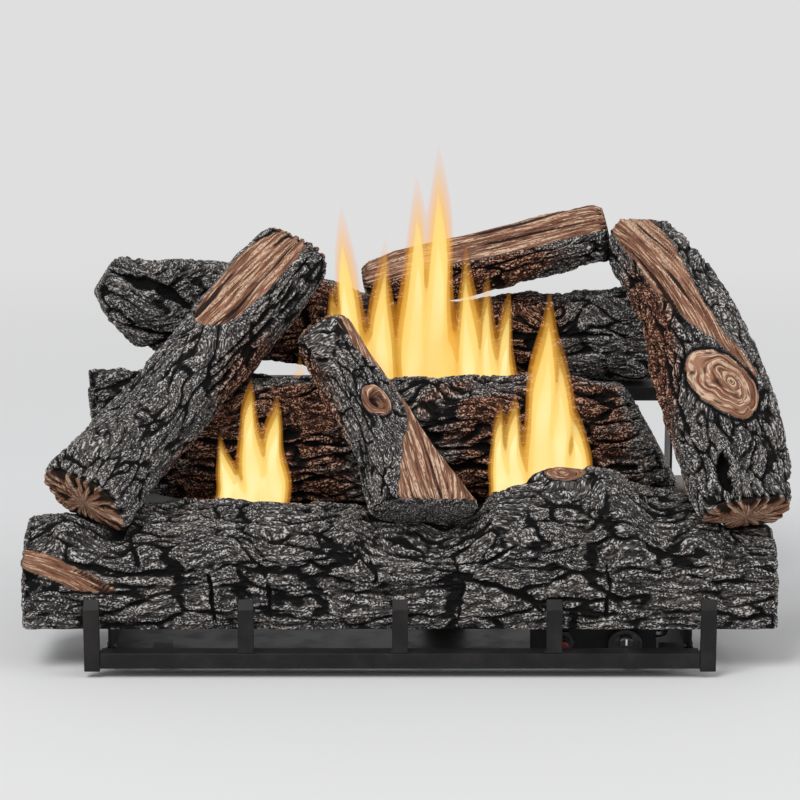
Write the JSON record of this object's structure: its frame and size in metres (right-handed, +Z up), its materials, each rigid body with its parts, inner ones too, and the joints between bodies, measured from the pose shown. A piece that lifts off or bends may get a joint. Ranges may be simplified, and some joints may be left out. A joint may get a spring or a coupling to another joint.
{
  "type": "gas log set",
  "caption": "Free-standing gas log set: moulded charred logs stacked over burner tubes on a sheet-metal base, with a bar grate in front and a knob and push-button igniter behind it.",
  "frame": {"origin": "on the hearth floor, under the base pan, midway between the ends of the front log", "axes": "+X to the viewer's right along the logs, +Y to the back of the fireplace, +Z up"},
  "size_m": [0.6233, 0.3026, 0.3477],
  "materials": {
    "moulded_log": "moulded bark relief, charcoal with pale dry-brushed ridges and brown split wood",
    "black_steel": "heat-resistant matt black paint",
    "burner_steel": "bare aluminised steel tube",
    "brass": "machined",
    "aluminium": "drawn tube and sheet, bare",
    "stainless": "pressed, bare",
    "cast_alloy": "die-cast, matt",
    "black_plastic": "moulded, fine grain",
    "red_plastic": "moulded, smooth",
    "white_ceramic": "glazed insulator",
    "copper": "drawn copper, bare",
    "zinc_screw": "zinc-plated",
    "wire_jacket": "smooth jacket"
  },
  "bodies": {
    "base": {"front_log": "moulded_log", "middle_log": "moulded_log", "rear_log": "moulded_log", "grate_rail": "black_steel", "grate_upright_1": "black_steel", "grate_upright_2": "black_steel", "grate_upright_3": "black_steel", "grate_upright_4": "black_steel", "grate_upright_5": "black_steel", "left_rail_bracket": "black_steel", "right_rail_bracket": "black_steel", "base_pan": "black_steel", "left_side_frame": "black_steel", "right_side_frame": "black_steel", "front_log_rest": "black_steel", "middle_log_rest": "black_steel", "rear_log_rest": "black_steel", "control_panel": "black_steel", "left_bracket_screw": "zinc_screw", "right_bracket_screw": "zinc_screw", "left_frame_front_screw": "zinc_screw", "left_frame_rear_screw": "zinc_screw", "right_frame_front_screw": "zinc_screw", "right_frame_rear_screw": "zinc_screw", "pilot_bracket_screw": "zinc_screw", "front_log_pin_left": "zinc_screw", "front_log_pin_right": "zinc_screw", "rear_log_pin_left": "zinc_screw", "rear_log_pin_right": "zinc_screw", "front_burner": "burner_steel", "rear_burner": "burner_steel", "front_injector": "brass", "rear_injector": "brass", "supply_nipple": "brass", "gas_inlet_fitting": "brass", "front_feed_tube": "aluminium", "rear_feed_tube": "aluminium", "pilot_gas_tube": "aluminium", "regulator_heat_shield": "aluminium", "pilot_bracket": "stainless", "pilot_burner": "stainless", "igniter_electrode": "white_ceramic", "thermocouple": "copper", "thermocouple_lead": "copper", "igniter_wire": "wire_jacket", "valve_body": "cast_alloy", "regulator_body": "cast_alloy", "regulator_cap": "cast_alloy", "igniter_body": "black_plastic", "igniter_nut": "black_plastic"},
    "left_log": {"left_crossing_log": "moulded_log"},
    "centre_log": {"centre_crossing_log": "moulded_log"},
    "right_log": {"right_crossing_log": "moulded_log"},
    "upper_log": {"top_log": "moulded_log"},
    "spindle": {"valve_spindle": "brass"},
    "knob": {"control_knob": "black_plastic"},
    "button": {"igniter_button": "red_plastic"}
  },
  "joints": [
    {"name": "left_log_lift", "type": "slide", "parent": "base", "child": "left_log", "axis": [0, 0, 1], "range_m": [0, 0.15]},
    {"name": "centre_log_lift", "type": "slide", "parent": "base", "child": "centre_log", "axis": [0, 0, 1], "range_m": [0, 0.15]},
    {"name": "right_log_lift", "type": "slide", "parent": "base", "child": "right_log", "axis": [0, 0, 1], "range_m": [0, 0.15]},
    {"name": "upper_log_lift", "type": "slide", "parent": "right_log", "child": "upper_log", "axis": [0, 0, 1], "range_m": [0, 0.15]},
    {"name": "valve_push", "type": "slide", "parent": "base", "child": "spindle", "axis": [0, 1, 0], "range_m": [0, 0.005], "stiffness_N_per_m": 300, "springref_m": -0.001},
    {"name": "knob_turn", "type": "hinge", "parent": "spindle", "child": "knob", "pos_m": [0.18285, -0.116, 0.0185], "axis": [0, -1, 0], "range_deg": [0, 180]},
    {"name": "igniter_press", "type": "slide", "parent": "base", "child": "button", "axis": [0, 1, 0], "range_m": [0, 0.006], "stiffness_N_per_m": 300, "springref_m": -0.001}
  ]
}
